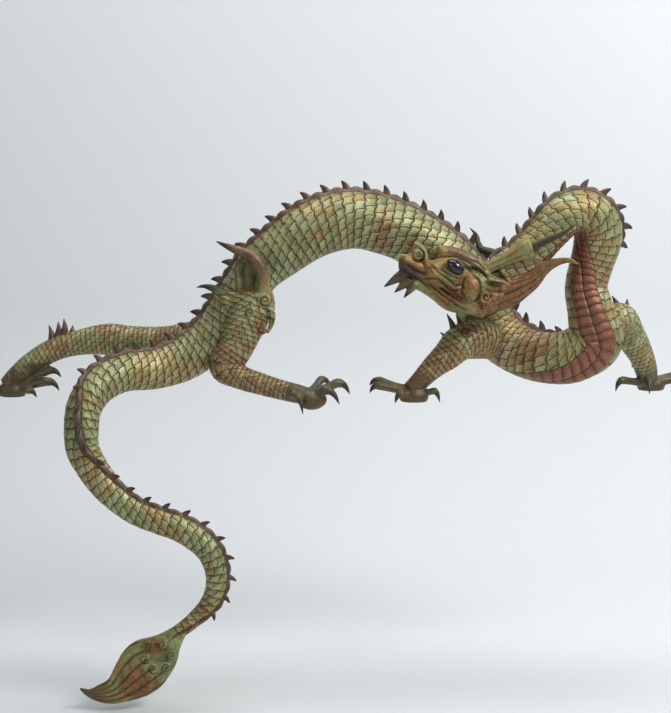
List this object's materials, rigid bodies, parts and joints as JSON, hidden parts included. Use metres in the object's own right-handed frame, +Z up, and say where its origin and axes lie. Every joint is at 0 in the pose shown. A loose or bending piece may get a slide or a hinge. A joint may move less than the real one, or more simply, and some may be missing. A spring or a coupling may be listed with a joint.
{
  "type": "dragon sculpture",
  "caption": "Cast bronze dragon that lies on a ledge with an arched scaly body, looped neck, horned head turned back and a tail hanging over the front edge.",
  "frame": {"origin": "middle of the flat sole of the near hind foot, on the top of the ledge that the feet stand on", "axes": "+X along the ledge towards the raised neck, +Y away from the ledge's front edge, +Z up"},
  "size_m": [1.3935, 0.3474, 0.9883],
  "materials": {
    "bronze": "satin"
  },
  "bodies": {
    "root": {"dragon": "bronze"}
  },
  "joints": []
}
